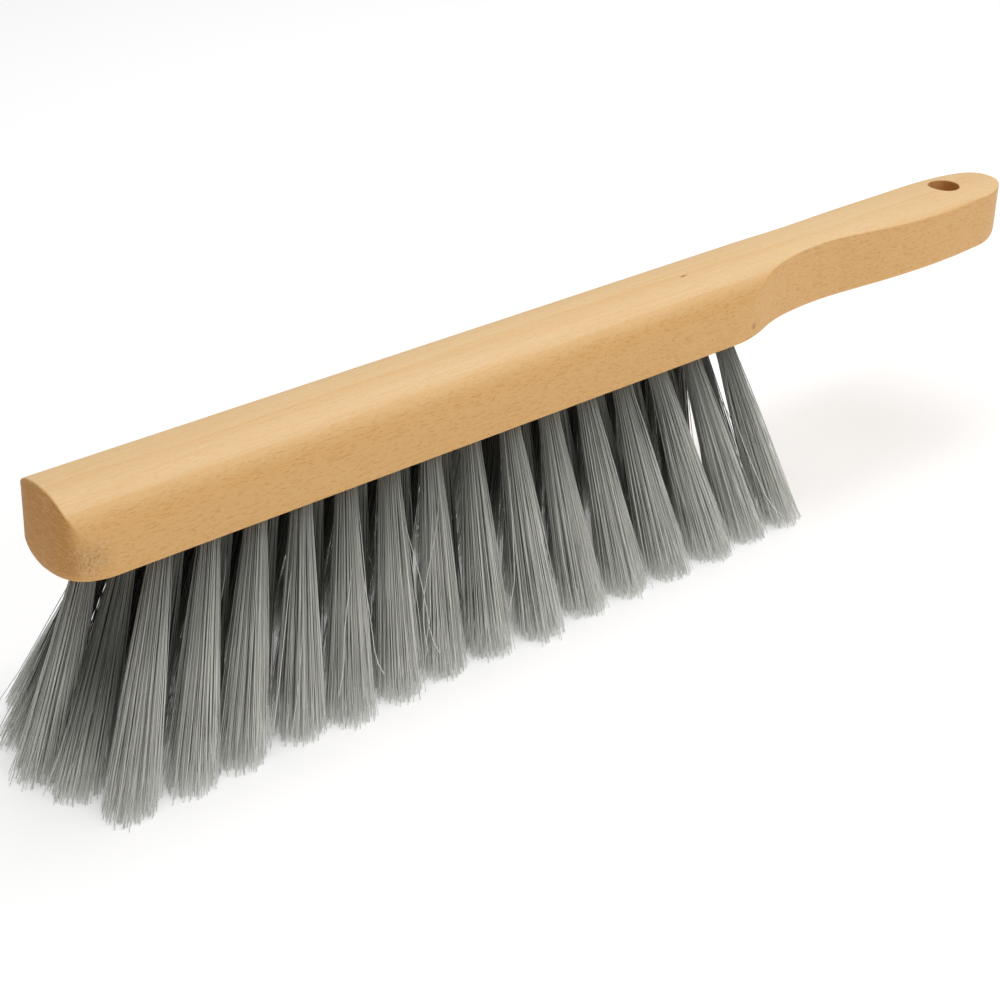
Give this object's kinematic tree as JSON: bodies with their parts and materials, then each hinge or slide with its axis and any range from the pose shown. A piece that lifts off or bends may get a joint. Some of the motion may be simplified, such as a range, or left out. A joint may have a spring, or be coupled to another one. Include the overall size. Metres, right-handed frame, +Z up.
{
  "type": "counter brush",
  "caption": "Hand-held counter brush: a domed beech block with a waisted handle and a hanging hole, and rows of flared bristle tufts for sweeping.",
  "frame": {"origin": "middle of the bounding box in plan, on the plane of the trimmed bristle tips that the brush stands on", "axes": "+X along the block from the nose to the end of the handle, +Y across the block, +Z up out of the crowned top, away from the bristles"},
  "size_m": [0.3588, 0.0684, 0.0772],
  "materials": {
    "beech": "smooth sanded beech with a thin clear satin finish",
    "bristle": "straight grey synthetic filaments, cut square at the ends"
  },
  "bodies": {
    "root": {"handle_block": "beech", "tuft_near_outer_01": "bristle", "tuft_near_outer_02": "bristle", "tuft_near_outer_03": "bristle", "tuft_near_outer_04": "bristle", "tuft_near_outer_05": "bristle", "tuft_near_outer_06": "bristle", "tuft_near_outer_07": "bristle", "tuft_near_outer_08": "bristle", "tuft_near_outer_09": "bristle", "tuft_near_outer_10": "bristle", "tuft_near_outer_11": "bristle", "tuft_near_outer_12": "bristle", "tuft_near_outer_13": "bristle", "tuft_near_outer_14": "bristle", "tuft_near_outer_15": "bristle", "tuft_near_inner_01": "bristle", "tuft_near_inner_02": "bristle", "tuft_near_inner_03": "bristle", "tuft_near_inner_04": "bristle", "tuft_near_inner_05": "bristle", "tuft_near_inner_06": "bristle", "tuft_near_inner_07": "bristle", "tuft_near_inner_08": "bristle", "tuft_near_inner_09": "bristle", "tuft_near_inner_10": "bristle", "tuft_near_inner_11": "bristle", "tuft_near_inner_12": "bristle", "tuft_near_inner_13": "bristle", "tuft_near_inner_14": "bristle", "tuft_nose_01": "bristle", "tuft_far_inner_01": "bristle", "tuft_far_inner_02": "bristle", "tuft_far_inner_03": "bristle", "tuft_far_inner_04": "bristle", "tuft_far_inner_05": "bristle", "tuft_far_inner_06": "bristle", "tuft_far_inner_07": "bristle", "tuft_far_inner_08": "bristle", "tuft_far_inner_09": "bristle", "tuft_far_inner_10": "bristle", "tuft_far_inner_11": "bristle", "tuft_far_inner_12": "bristle", "tuft_far_inner_13": "bristle", "tuft_far_inner_14": "bristle", "tuft_far_outer_01": "bristle", "tuft_far_outer_02": "bristle", "tuft_far_outer_03": "bristle", "tuft_far_outer_04": "bristle", "tuft_far_outer_05": "bristle", "tuft_far_outer_06": "bristle", "tuft_far_outer_07": "bristle", "tuft_far_outer_08": "bristle", "tuft_far_outer_09": "bristle", "tuft_far_outer_10": "bristle", "tuft_far_outer_11": "bristle", "tuft_far_outer_12": "bristle", "tuft_far_outer_13": "bristle", "tuft_far_outer_14": "bristle", "tuft_far_outer_15": "bristle"}
  },
  "joints": []
}
